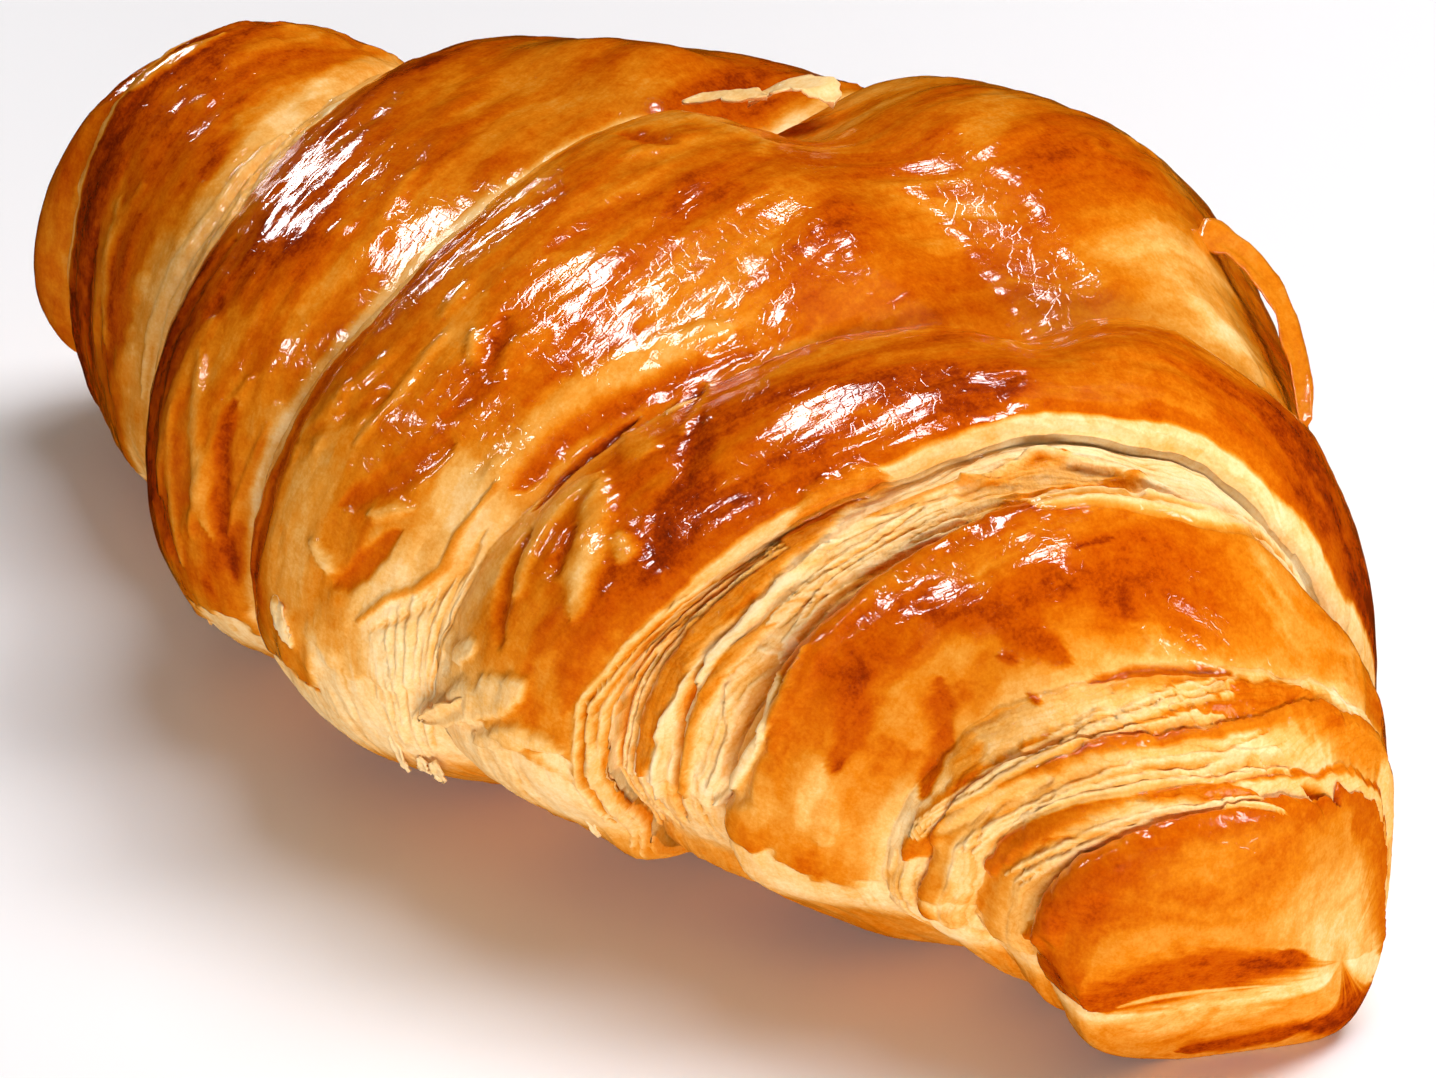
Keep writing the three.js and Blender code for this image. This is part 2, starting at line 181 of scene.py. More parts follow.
MARKS = [Mark(*row) for row in (
    # Far wrap and second wrap
    (((-63.4, 61), (-61.6, 74), (-60.2, 88)), 2.2, 0.2, 0.46),
    (((-61.5, 2), (-61, 25), (-59, 45)), 3, 0.2, 0.92, 0.9),
    (((-57, 5), (-56, 28), (-54, 45)), 1.6, 0.2, 0.62, 0.8),
    (((-53.5, 12), (-52.5, 40)), 2, 0.15, 0.86, 0.8),
    (((-37.4, 76), (-36.6, 45), (-36.4, 14)), 0.45, 0.15, 0.4),
    (((-31, 5), (-30, 20), (-28.5, 38)), 1.8, 0.25, 0.6, 0.7),
    (((-25.5, 2), (-23.4, 19), (-21.5, 32)), 1.4, 0.3, 0.58, 0.6),
    (((-21.4, 4), (-19.6, 15), (-18.5, 26)), 0.9, 0.3, 0.6, 0.6),
    (((-59.4, -4), (-59.5, 9), (-58.9, 26)), 1.8, -0.2, 0.98, 0.7),
    (((-54.1, 8), (-55.6, 24), (-56.7, 37)), 1.4, 0.2, 0.5, 0.7),
    (((-28.4, -4), (-31.3, 4), (-33.3, 15), (-33.5, 30), (-33, 50)), 2.2, -0.3, 0.86, 0.7),
    (((-30.8, 45), (-32.5, 58), (-34.5, 74)), 2, -0.1, 0.82, 0.9),
    (((-22.9, 3), (-24.5, 12), (-26.1, 22), (-27.9, 32)), 1.8, 0.3, 0.46, 0.7),
    (((-27.2, -4), (-28.6, 8), (-29.4, 22)), 1.2, 0.2, 0.52, 0.7),
    (((-20.8, -3), (-21.9, 7), (-22.5, 19), (-22.5, 27)), 1.6, -0.3, 0.92, 0.7),
    (((-19.6, 22), (-19.1, 35), (-18.8, 48), (-18.3, 59), (-20.8, 73)), 2, 0.2, 0.58, 0.9),
    # Middle wrap: dark line behind its cut edge, partly browning and partly painted shade in the groove
    # there, blisters, scorched patches, and a pit under the flap darkened as painted shadow
    (((-14.8, 0), (-13, 15), (-12.3, 30), (-10.6, 45), (-8.2, 65)), 1.5, -0.3, 0.86, 0.6),
    (((0.4, 49), (2.7, 44)), 1.3, 0.4, 0.42, 0.6),
    (((-2, 48), (-3, 38), (-5, 29)), 1, 0.25, 0.52, 0.7),
    (((2.1, 52), (3.4, 43), (2.2, 37)), 2.2, -0.3, 0.84),
    (((-4.2, 20), (-0.3, 26), (3, 33)), 2.6, -0.3, 0.8, 0.4),
    (((-3.8, 8), (-1.6, 11), (1.4, 19)), 2, -0.3, 0.8, 0.4),
    (((-1.6, 20), (2.2, 23)), 1.5, 0.5, 0.36),
    (((-6.8, 14), (-4, 10)), 1.6, 0.45, 0.24),
    (((-11, 2), (-8.8, -3)), 2, 0.35, 0.06, 0.25),
    (((-12.2, -12), (-7.1, -13)), 1, -0.2, 0.84),
    (((1.1, 63), (2, 69), (3.2, 75)), 3.6, -0.1, 0.82, 0.8),
    # pit under the flap's tip, darkened as a painted shadow
    (((-5.7, 84), (-0.4, 84)), 1.6, -0.5, 0.9, 0.8),
    (((-9.1, 91), (-8.7, 82), (-9.3, 68)), 0.8, 0.3, 0.38, 0.4),
    (((-3.4, 90), (4.2, 90), (6.1, 87)), 0.8, 0.25, 0.46, 0.6),
    (((-9.2, 52), (-7.8, 66), (-6.6, 80)), 3.4, 0, None, 0.8, 0.6),
    # Its pale pleat with a groove beside it, and the crease before the near wrap, both darkened with painted
    # shade
    (((17.5, 62), (13.6, 54), (11.2, 46), (9.2, 38), (7.6, 29)), 3.2, 0.3, 0.4, 0.8),
    (((20, 60), (16.2, 51), (13.6, 44), (11.2, 37), (9.6, 29)), 2, -0.3, 0.86, 0.8),
    (((15.6, 44), (13.2, 35), (11.6, 27)), 0.8, -0.5, 0.93, 0.4),
    (((18.2, 52), (19.8, 48), (22.1, 44), (24, 38)), 1.8, -0.25, 0.93, 0.9),
    (((15.8, 41), (19.4, 41)), 3.4, 0.3, 0.52, 0.7),
    (((17.4, 46.5), (18.8, 50)), 0.5, 0.4, 0.3, 0.4),
    (((12.6, 24), (12.2, 17), (13.2, 8)), 1.3, -0.5, 0.84, 0.7),
    # Edge of a flake and ragged flakes at the foot
    (((-1.4, 4), (1.4, 9), (3.6, 11), (5.6, 15), (6.4, 21), (8.5, 30)), 0.7, 0.3, 0.56),
    (((-0.4, 3), (4.2, 8), (7.1, 15), (8.2, 22)), 0.7, -0.3, 0.4, 0.8),
    (((3, -12), (6, -7), (9.1, -3), (12.8, 1), (15.8, 4)), 3.6, 0.55, 0.2, 0.1, 0.35),
    (((10, -10), (15.6, -3), (18.7, -4)), 3, 0.5, 0.24, 0.12, 0.35),
    (((8, 3), (10.5, 7)), 1.6, 0.4, 0.2, 0.15),
    # Near wrap: blisters, a scorched patch and a red crest
    (((16.9, 34), (18.4, 29), (19.3, 23), (19.6, 15)), 3, 0.55, 0.4, 0.7),
    # paler stripe down the big blister: partly its thin skin, partly a painted highlight
    (((19.1, 26), (19.5, 18)), 1.1, 0.1, 0.28, 0.9),
    (((16.2, 35), (14.2, 30), (13.6, 24), (13.9, 15)), 1.8, 0.45, 0.42, 0.7),
    (((16.9, 27), (16.8, 20)), 1.2, -0.3, 0.84, 0.6),
    (((21.1, 29), (22.3, 25)), 1.8, 0.4, 0.4, 0.7),
    (((21.4, 47), (24.4, 38), (24.7, 26)), 4.4, -0.2, 0.93),
    (((18.8, 53), (20.9, 44)), 1, 0.3, 0.6),
    (((22, 21), (20.6, 12), (19.4, 2)), 2.6, 0.1, 0.8, 0.6),
    (((30, 60), (35, 68), (41, 76)), 4, 0, 0.92, 0.8),
    (((42.2, 61), (44.4, 70), (46, 76)), 1.4, 0.3, 0.86, 0.7),
    (((36, 86), (44, 92)), 3, 0.2, 0.72, 0.9),
    # Ribbons and hollows between the near wrap and the last wrap; the slits and hollows are darkened with
    # painted shade
    (((36, 53), (34, 47), (31.8, 32), (28.2, 18), (26, 5), (23.7, -9)), 2.3, 0.6, 0.64, 0.35),
    (((23.2, -8), (24, -18), (24.2, -28)), 0.9, -1, 0.5),
    (((35.3, 40), (32.4, 26), (30.4, 17), (28.4, 10), (26.4, 1), (24.9, -14)), 0.9, 0.8, 0.06, 0.3),
    (((29.4, 15), (28, 6), (27.3, -4), (26.2, -21)), 0.6, -1.2, 0.7, 0.4),
    (((36.6, 36), (33.4, 24), (30.8, 15), (29.4, 7), (28.7, 1), (27.8, -10)), 0.9, 0.6, 0.56, 0.35),
    (((35.6, 22), (34.6, 12), (34.2, 3), (32.8, -4)), 3, -0.9, 0.42),
    (((38.3, 25), (37.2, 14), (34.6, 3), (30.5, -9)), 0.8, 0.7, 0.08, 0.3),
    (((33, 20), (36.4, 18), (36, 8)), 0.6, 0.5, 0.08, 0.35),
    (((31.4, 12), (31.8, 4), (30.4, -5)), 0.7, 0.5, 0.12, 0.35),
    (((41, 60), (43, 65), (44.2, 72), (47.3, 77), (50.7, 83), (55.4, 92)), 0.5, 0.7, 0.04, 0.3),
    (((41.5, 58), (45.4, 69), (48.4, 75), (52.5, 81)), 2.8, -0.7, 0.32, 0.6),
    (((36.5, 46), (38.6, 52), (41, 60), (44.5, 66)), 0.5, 0.3, 0.48),
    (((44.5, 62), (50, 77), (55, 90), (58.5, 108)), 0.6, 0.3, 0.48),
    # Last wrap
    (((51, 84), (46.6, 65), (43, 48), (39.6, 33), (38.4, 20), (36.9, 8)), 1.8, 0.45, 0.7, 0.6),
    (((46.8, 63), (49.3, 72), (52.2, 81)), 0.9, -0.1, 0.9, 0.6),
    (((52.1, 64), (53.6, 71)), 0.35, -0.1, 1, 0.4),
    (((56.2, 66), (56.7, 68)), 0.9, 0.1, 0.95, 0.8),
    (((51, 40), (52.4, 42)), 0.7, 0.2, 0.92, 0.9),
    (((53.6, 38), (54.8, 39)), 0.6, 0.2, 0.92, 0.9),
    (((44.9, 25), (46.4, 16)), 2.8, 0.2, 0.54, 0.7),
    (((50.4, 24), (51, 14)), 2.2, 0.2, 0.54, 0.7),
    (((43.4, 38), (49, 45), (55.2, 50)), 3.6, 0, 0.88, 0.7),
    (((41.6, 27), (42.6, 18), (41.6, 8)), 2.2, -0.1, 0.86, 0.6),
    (((47.6, 30), (48.4, 20), (47.6, 8)), 1.6, -0.2, 0.86),
    (((58.7, 54), (60.5, 63), (63.1, 76), (64.8, 86)), 0.8, 0.3, 0.5),
    (((57, 50), (59, 60), (61.4, 72), (63.4, 84)), 0.6, -0.3, 0.8),
    # Steps before the near tip: brown edges, a slit darkened with painted shade, and a crack
    (((47.2, -2), (49.8, 8), (55, 25), (61, 50), (63.8, 70)), 2.4, 0.5, 0.75, 0.4),
    (((61.6, 62), (65.4, 84), (69.4, 114), (70.2, 136)), 2.8, 0.2, 0.66),
    (((54.3, 20), (55.6, 24)), 1.6, 0.3, 0.93, 0.6),
    (((53.4, 2), (58, 20), (62.4, 40), (66.6, 56), (69.4, 68)), 1.9, 0.5, 0.72, 0.4),
    (((50, 5), (54, 17), (58, 30)), 1.2, -0.4, 0.26, 0.6),
    (((64, 73), (65.1, 84), (66.8, 98), (69.1, 110)), 1.8, 0.3, 0.7, 0.6),
    (((70.1, 85), (71, 91), (72, 96)), 0.6, -1, 0.95, 0.4),
    # Near tip: lip, front ridge, a recess in the crumb darkened with painted shade, and browned base
    (((57, -8), (60, 4), (63.8, 22), (67.4, 43), (70, 62), (72, 84)), 2.1, 0.5, 0.78),
    (((63.2, -16), (65.9, -13), (68.5, -8), (71.2, 3), (73.2, 11)), 5.4, 0.5, 0.88, 0.6, 0),
    (((72.4, 4), (73.6, 12), (73.8, 18)), 2.4, 0.2, 0.92, 0.8),
    (((73.2, 104), (73.5, 150), (73.1, 205)), 1.8, 0.2, 0.74, 0.7),
    (((66, -18), (68.6, -13), (71, -10), (73, -8)), 0.7, 0.3, 0.3, 0.4),
    (((69.6, -18), (72.4, -17)), 1.8, -0.7, 0.4, 0.6),
    (((65.6, -38), (69.7, -36), (72.4, -40)), 4.6, -0.2, 0.36, 0.7, 0.9),
    (((66.5, -62), (70, -68), (73.2, -78)), 3.4, 0.2, 0.96, 0.5, 0),
    (((73.4, -76), (73.8, -104), (72.8, -134)), 3.2, 0.2, 0.96, 0.6, 0),
)]


@dataclass
class Area:
    """A patch of skin that is baked or torn more or less than the skin round it; a few stand for painted
    light.
    """
    at: tuple             # X and an angle in degrees
    reach: tuple          # millimetres along the roll, degrees round it
    tone: float = 0.0     # change of tone
    torn: float = 0.0     # change of tearing


AREAS = [
    Area((14, 76), (12, 10), 0.06),  # top of the middle wrap
    Area((-4, 62), (5, 20), -0.06),  # gold left of its crest
    Area((-6, 30), (5, 14), -0.08),  # and below that
    Area((8, 26), (5, 10), -0.12),  # gold above the low crease
    Area((40, 116), (9, 17), -0.28),  # paler behind the near wrap: partly gold, partly painted light where the shoulder faces the window
    Area((67.2, 74), (1.8, 8), -0.2, 0.4),  # pale right side of the steps
    Area((-8, 22), (4, 12), -0.14),  # gold low on the middle wrap
    Area((15, 2), (7, 10), -0.12),  # low on the near wrap
    Area((42, 0), (8, 14), -0.16),  # low on the last wrap
    Area((61, 100), (6, 15), -0.14),  # back of the last wrap
    Area((67.2, 120), (1.6, 9), -0.3, 0.5),  # pale step behind it
    Area((38, 128), (5, 9), -0.12),  # paler on the back shoulder: partly gold, partly a painted highlight
    Area((4, 0), (6, 12), -0.26, 0.8),  # fine layers at the foot of the middle wrap
    Area((12, -6), (7, 8), -0.16, 0.4),  # and of the near wrap
    Area((44, 4), (6, 8), -0.10),  # foot of the last wrap
    Area((66, 45), (5, 22), -0.08),  # amber middle of the near tip
    Area((70, -30), (5, 15), -0.26, 0.8),  # crumb under its ridge
    Area((75.2, 40), (1.9, 400), -0.3, 0.6),  # its cut end
]


@dataclass
class Bunch:
    """Thin ribbons of dough that run side by side between two lines."""
    left: tuple           # places of the line on the left, as in a mark
    right: tuple
    count: int
    width: float
    rise: float
    tone: float
    between: float = 0.4  # tone of the gaps between them


BUNCHES = [
    # Beside the near wrap, at the foot of the middle wrap, and low and high in the near pale band
    Bunch(((31, 36), (27.4, 26), (23.2, 14), (20.4, 4), (18.8, -12), (19.2, -28)),
          ((32.6, 36), (29, 24), (25.6, 12), (23.8, 3), (22.2, -12), (22.6, -30)), 6, 0.4, 0.35, 0.22, 0.62),
    Bunch(((-0.8, 4), (-0.2, 0), (0.5, -8), (0.2, -22)),
          ((8.2, 16), (6.3, 7), (5, -2), (3.2, -24)), 9, 0.4, 0.16, 0.12, 0.24),
    Bunch(((39.2, 52), (37.4, 42), (35.4, 34), (33.4, 27)),
          ((44.5, 56), (40.4, 44), (37.2, 32), (35.2, 25)), 5, 0.6, 0.35, 0.1),
    Bunch(((45.6, 64), (49.4, 76), (53.6, 90), (57.6, 110)),
          ((48.6, 64), (53.4, 78), (57.4, 92), (60.4, 112)), 4, 0.8, 0.3, 0.12),
    # In the three steps, and in the far pale band
    Bunch(((47, 2), (51.4, 15), (56.2, 34), (60, 54), (63.4, 76)),
          ((48.4, 2), (53.2, 17), (58.8, 37), (62.4, 57), (65.4, 78)), 4, 0.5, 0.3, 0.12),
    Bunch(((51.4, 4), (55.6, 17), (60.6, 36), (64.8, 57), (67.6, 80)),
          ((52.6, 4), (57.0, 19), (62.8, 40), (66.8, 60), (69.4, 84)), 3, 0.5, 0.3, 0.14),
    Bunch(((55.2, 4), (59.4, 18), (63.2, 34), (67, 52), (70, 74)),
          ((57, 4), (61.2, 19), (64.8, 36), (68.4, 54), (71, 74)), 3, 0.5, 0.3, 0.14),
    Bunch(((-48.6, 4), (-46.6, 28), (-44.4, 52), (-44.6, 74)),
          ((-41, 4), (-40.6, 28), (-40.4, 52), (-41.6, 74)), 3, 0.9, 0.25, 0.3),
]


# Smooth noise

class Noise:
    """Gradient noise in space, from -1 to 1, the same for the same seed."""
    SIZE = 32             # cells before it repeats
    GAIN = 1.6            # brings it to the range from -1 to 1
    OCTAVE_SHIFT = 7.3    # keeps the octaves of a cloud apart

    def __init__(self, seed):
        draws = np.random.default_rng(seed).normal(size=(self.SIZE ** 3, 3))
        self.slopes = draws / np.linalg.norm(draws, axis=1, keepdims=True)

    def __call__(self, x, y, z):
        place = np.stack(np.broadcast_arrays(x, y, z), axis=-1).astype(float)
        cell = np.floor(place).astype(int)
        inside = place - cell
        fade = inside ** 3 * (inside * (inside * 6 - 15) + 10)
        total = 0.0
        for corner in np.ndindex(2, 2, 2):
            at = (cell + corner) % self.SIZE
            slope = self.slopes[(at[..., 0] * self.SIZE + at[..., 1]) * self.SIZE + at[..., 2]]
            weight = np.prod(np.where(np.array(corner) == 1, fade, 1 - fade), axis=-1)
            total = total + weight * np.sum(slope * (inside - corner), axis=-1)
        return total * self.GAIN

    def cloudy(self, x, y, z, octaves=3):
        total = 0.0
        for octave in range(octaves):
            grain = 2.0 ** octave
            total = total + self(x * grain + octave * self.OCTAVE_SHIFT, y * grain, z * grain) / grain
        return total


def smooth_step(low, high, value):
    t = np.clip((value - low) / (high - low), 0, 1)
    return t * t * (3 - 2 * t)


# Form of the roll

def section_size(values, at):
    """A smooth curve through one size of the sections."""
    last = len(SECTION_AT) - 1
    i = np.clip(np.searchsorted(SECTION_AT, at) - 1, 0, last - 1)
    before = np.maximum(np.arange(last + 1) - 1, 0)
    after = np.minimum(np.arange(last + 1) + 1, last)
    slope = (values[after] - values[before]) / (SECTION_AT[after] - SECTION_AT[before])
    span = SECTION_AT[i + 1] - SECTION_AT[i]
    t = (at - SECTION_AT[i]) / span
    bends = t * (1 - t) ** 2 * span * slope[i] - t * t * (1 - t) * span * slope[i + 1]
    return values[i] + (values[i + 1] - values[i]) * t * t * (3 - 2 * t) + bends


def around(values, angle):
    """A smooth closed curve through values spaced evenly round the roll."""
    values = np.array(values, float)
    count = len(values)
    place = angle / (2 * math.pi) * count
    i = np.floor(place).astype(int)
    t = place - i
    p0, p1, p2, p3 = (values[(i + k) % count] for k in (-1, 0, 1, 2))
    bend = 2 * p0 - 5 * p1 + 4 * p2 - p3
    twist = 3 * (p1 - p2) + p3 - p0
    return p1 + 0.5 * t * ((p2 - p0) + t * (bend + t * twist))


def fold_height(fold, following, t):
    """Height of a fold at a share t of its width, over its feet at both ends."""
    rising = t < fold.crest
    reach = np.where(rising, (fold.crest - t) / fold.crest, (t - fold.crest) / (1 - fold.crest))
    power = np.where(rising, fold.sides[0][0], fold.sides[1][0])
    root = np.where(rising, fold.sides[0][1], fold.sides[1][1])
    arch = (1 - reach ** power) ** (1 / root)
    foot = fold.foot + (following.foot - fold.foot) * t
    return foot + (fold.rise - foot) * arch


def edge_at(fold, angle):
    """X of a fold's edge at an angle round the roll."""
    degrees = np.degrees(angle)
    behind = smooth_step(FLAP_CORNER, FLAP_BACK, degrees) * (1 - smooth_step(*FLAP_FADE, degrees))
    return around(fold.edge, angle) + (FLAP_STEP * behind if fold.flap else 0)


def swell_height(along, angle):
    total = 0.0
    for height, lengthwise, crosswise, phase in SWELLS:
        wave = np.sin(lengthwise * along * math.pi + phase) * np.cos(crosswise * angle + phase)
        total = total + height * wave
    return total


def line_gap(x, degrees, start, end, girth):
    """Distance on the skin from the line between two places, and the nearest share of that line."""
    run = (end[0] - start[0], math.radians(end[1] - start[1]) * girth)
    turn = (degrees - start[1] + 180) % 360 - 180
    here = (x - start[0], np.radians(turn) * girth)
    share = (here[0] * run[0] + here[1] * run[1]) / (run[0] ** 2 + run[1] ** 2)
    share = np.clip(share, 0, 1)
    return np.hypot(here[0] - share * run[0], here[1] - share * run[1]), share


def dent_height(x, degrees):
    girth = section_size(HALF_WIDTH, x / HALF_LENGTH)
    total = 0.0
    for start, end, height, reach in DENTS:
        total = total + height * np.exp(-(line_gap(x, degrees, start, end, girth)[0] / reach) ** 2)
    return total


def rounded(value):
    return np.sign(value) * np.abs(value) ** (2 / ROUNDNESS)


def flattened(point):
    """A point pressed back behind the flat places."""
    for through, facing, rim in FLATS:
        out = np.array(facing) / np.linalg.norm(facing)
        gap = (point - np.array(through)) @ out
        point = point - out * (rim * np.logaddexp(0, gap / rim))[..., None]
    return point


def body_point(x, angle, raised):
    """Point of the roll at a height over its smooth body."""
    along = np.clip(x / HALF_LENGTH, -1, 1)
    closing = np.maximum(0, (np.abs(along) - TIP_START) / (1 - TIP_START))
    blunt = np.where(along > 0, NEAR_BLUNT, FAR_BLUNT)
    tip = np.maximum(0, 1 - closing ** blunt) ** (1 / blunt)
    height = section_size(HEIGHT, along)
    middle = section_size(LIFT, along) + height * BELLY
    share = np.where(np.sin(angle) > 0, 1 - BELLY, BELLY)
    out_y = -section_size(HALF_WIDTH, along) * rounded(np.cos(angle))
    out_z = height * share * rounded(np.sin(angle))
    relief = raised / np.hypot(out_y, out_z)
    y = section_size(OFFSET, along) + out_y * (1 + relief) * tip
    z = middle + out_z * (1 + relief) * tip
    point = flattened(np.stack([x - CENTRE_X, y - CENTRE_Y, z - PRESSED], axis=-1))
    point[..., 2] = np.maximum(0, point[..., 2])
    return point


# Skin of the roll with its fine relief

FINE = Noise(3)
STREAK = Noise(11)
PATCH = Noise(29)

# Mesh of the skin
SIDE_ROWS = 330       # rows on the front, top and back
BASE_ROWS = 70        # rows on the underside
BASE_FROM = 215.0     # angles between which the underside lies
BASE_TO = 325.0
SPACING = (0.45, 0.55)    # shares of even lines and of lines that are closer at a fold's edges

# Tones, from 0 for pale dough to 1 for dark brown
LIGHTEST = 0.02
DARKEST = 0.94
PALE_TONE = 0.2       # dough below the glazed skin
BASE_TONE = 0.5       # underside
CUT_TONE = 0.4        # cut edge of a wrap
TORN_TONES = (0.5, 0.36)  # tones where a fold's dough begins to look torn and where it is fully torn
FRONT_TO_TOP = (12, 48)   # angles between which the tones of the front turn into those of the top
MARK_COVER = 0.85     # how fully a mark takes its own tone
MARK_END = 0.25       # width of a mark at its ends, as a share of its width in the middle
MARK_WANDER = 0.18    # how far its sides wander, as a share of its width

# Edges of the folds
LIP_REACH = 0.15      # where the lip hangs out most, as a share of the way to the crest
CUT_FADES = (0.4, 0.25)   # millimetres over which a cut edge ends, at the fold's own edge and at its end
CUT_TORN = 0.6        # how torn a cut edge is
EDGE_SKIN = 0.3       # millimetres at both edges that stay whole
TIP_GRAIN = (64, 74)  # X between which the grain turns square to the roll
FOLD_SHIFT = 40       # keeps the grain of the folds apart

# Grains: millimetres across the wraps and along them
STAIN_GRAIN = (5.5, 15)
STREAK_GRAIN = (2.2, 18)
PUFF_GRAIN = (3.4, 6.5)
FINE_GRAIN = (1.3, 3.2)
WAVE_GRAIN = (2, 9)

# Where the glazed skin ends low on the front: X and an angle in degrees
GLAZE_END = ((-75, -24), (-40, -22), (-20, -18), (-10, -9), (0, -4), (10, -5), (20, -9), (35, -13),
             (50, -16), (60, -20), (66, -17), (69, -10), (72, -6), (75, -4))
GLAZE_BACK = (196, 192)   # angles between which it ends on the back
GLAZE_HEIGHT = 0.35       # of the glazed skin over the dough below it
SHEET_WIDTH = 0.95        # of the thin sheets in torn dough


class Skin:
    """Every point of the skin, ring by ring, with what the oven did to it."""

    def __init__(self):
        upper = np.linspace(BASE_TO - 360, BASE_FROM, SIDE_ROWS, endpoint=False)
        lower = np.linspace(BASE_FROM, BASE_TO, BASE_ROWS, endpoint=False)
        self.row_degrees = np.concatenate([upper, lower])
        self.row_angles = np.radians(self.row_degrees)
        self.ring_y = np.cos(self.row_angles) * GIRTH_RADIUS
        self.ring_z = np.sin(self.row_angles) * GIRTH_RADIUS
        edges = [self.edge_line(number) for number in range(len(FOLDS))]
        rings = [self.fold_rings(i, edges[i], edges[i + 1]) for i in range(len(FOLDS) - 1)]
        for key in rings[0]:
            setattr(self, key, np.concatenate([ring[key] for ring in rings]))
        self.degrees = np.broadcast_to(self.row_degrees, self.x.shape)
        smooth = body_point(self.x, np.broadcast_to(self.row_angles, self.x.shape), 0.0)
        self.y, self.z = smooth[..., 1], smooth[..., 2]
        self.bake()
        for mark in scattered_blisters() + MARKS + ribbons():
            self.leave(mark)
        self.wrinkle()

    def edge_line(self, number):
        """X of a fold's own edge, slightly ragged."""
        x = edge_at(FOLDS[number], self.row_angles % (2 * math.pi))
        if 0 < number < len(FOLDS) - 1:
            x = x + 0.4 * FINE.cloudy(number * 5.1, self.ring_y / 9, self.ring_z / 9)
            x = x + 0.15 * FINE.cloudy(number * 3.7, self.ring_y / 1.6, self.ring_z / 1.6, 2)
        return x

    def fold_rings(self, number, left, right):
        """Rings of a fold, between its own edge and the next fold's edge."""
        fold, following = FOLDS[number], FOLDS[number + 1]
        even = np.arange(fold.lines) / fold.lines
        eased = (1 - np.cos(math.pi * even)) / 2
        t = even * SPACING[0] + eased * SPACING[1]
        if number == 0:
            t = t[1:]
        t = np.broadcast_to(t[:, None], (len(t), len(left)))
        from_left = (right - left) * t
        x = left + from_left
        along = from_left + (left - left.mean()) * smooth_step(*TIP_GRAIN, x) + number * FOLD_SHIFT
        raised = fold_height(fold, following, t)
        raised = raised + swell_height(x / HALF_LENGTH, self.row_angles) + dent_height(x, self.row_degrees)

        # The lip hangs over its neighbour
        to_crest = t / fold.crest if fold.hang > 0 else (1 - t) / (1 - fold.crest)
        reach = to_crest / LIP_REACH
        shift = -fold.hang * reach * np.exp(1 - reach)

        top = np.interp(t, *zip(*fold.tones))
        front = np.interp(t, *zip(*(fold.front or fold.tones)))
        tone = front + (top - front) * smooth_step(*FRONT_TO_TOP, self.row_degrees)
        cut = smooth_step(fold.cut + CUT_FADES[0], fold.cut, from_left) if fold.cut else np.zeros_like(x)
        tone = tone + (CUT_TONE - tone) * cut
        if fold.end_cut:
            cut = smooth_step(fold.end_cut + CUT_FADES[1], fold.end_cut, right - x)
            tone = tone + (PALE_TONE - tone) * cut
        inner = smooth_step(0, EDGE_SKIN, from_left) * smooth_step(0, EDGE_SKIN, right - x)
        torn = fold.torn * inner * smooth_step(*TORN_TONES, tone) + cut * CUT_TORN
        return {
            "x": x,
            "shift": shift,
            "raised": raised,
            "along": along,
            "tone": tone,
            "torn": np.clip(torn, 0, 1),
        }

    def grain(self, noise, size, octaves=3, start=0.0):
        """Noise that is stretched along the wraps."""
        across, lengthwise = size
        return noise.cloudy(self.along / across + start, self.y / lengthwise, self.z / lengthwise, octaves)

    def bake(self):
        """Brown the crust in its areas, some of which paint light, with stains, and end the glazed skin low
        on both sides.
        """
        x, degrees, y, z = self.x, self.degrees, self.y, self.z
        for area in AREAS:
            gap = ((x - area.at[0]) / area.reach[0]) ** 2 + ((degrees - area.at[1]) / area.reach[1]) ** 2
            fade = np.exp(-gap)
            self.tone = self.tone + area.tone * fade
            self.torn = np.clip(self.torn + area.torn * fade, 0, 1)

        # Stains that stretch along the wraps
        stain = self.grain(PATCH, STAIN_GRAIN)
        streak = self.grain(STREAK, STREAK_GRAIN, start=50)
        cloud = PATCH.cloudy(x / 11 + 9, y / 11, z / 11)
        change = 0.08 * smooth_step(0.1, 0.3, stain) - 0.12 * smooth_step(0.15, 0.4, -stain)
        change = change + 0.03 * streak + 0.06 * cloud
        self.tone = self.tone + change * (1 - 0.7 * self.torn)

        # The glazed skin ends in a ragged line low on each side, with paler dough below it
        rags = 9 * PATCH.cloudy(x / 6 + 20, y / 6, z / 6) + 3 * FINE.cloudy(x / 1.8, y / 1.8, z / 1.8, 2)
        ragged = degrees + rags
        front_end = np.interp(x, *zip(*GLAZE_END))
        glazed = smooth_step(front_end - 2.5, front_end + 1.5, ragged) * smooth_step(*GLAZE_BACK, ragged)
        baked = smooth_step(front_end - 4, front_end + 26, ragged) * smooth_step(200, 170, degrees)
        self.tone = self.tone - 0.12 * (1 - baked) * (self.tone > CUT_TONE)
        base = np.clip(smooth_step(212, 240, degrees) + smooth_step(-25, -35, degrees), 0, 1)
        low = PALE_TONE + (BASE_TONE - PALE_TONE) * base + 0.08 * cloud + 0.05 * streak
        self.tone = low + (self.tone - low) * glazed
        self.raised = self.raised + GLAZE_HEIGHT * (glazed - 1)
        self.torn = np.maximum(self.torn, 0.45 * (1 - glazed))

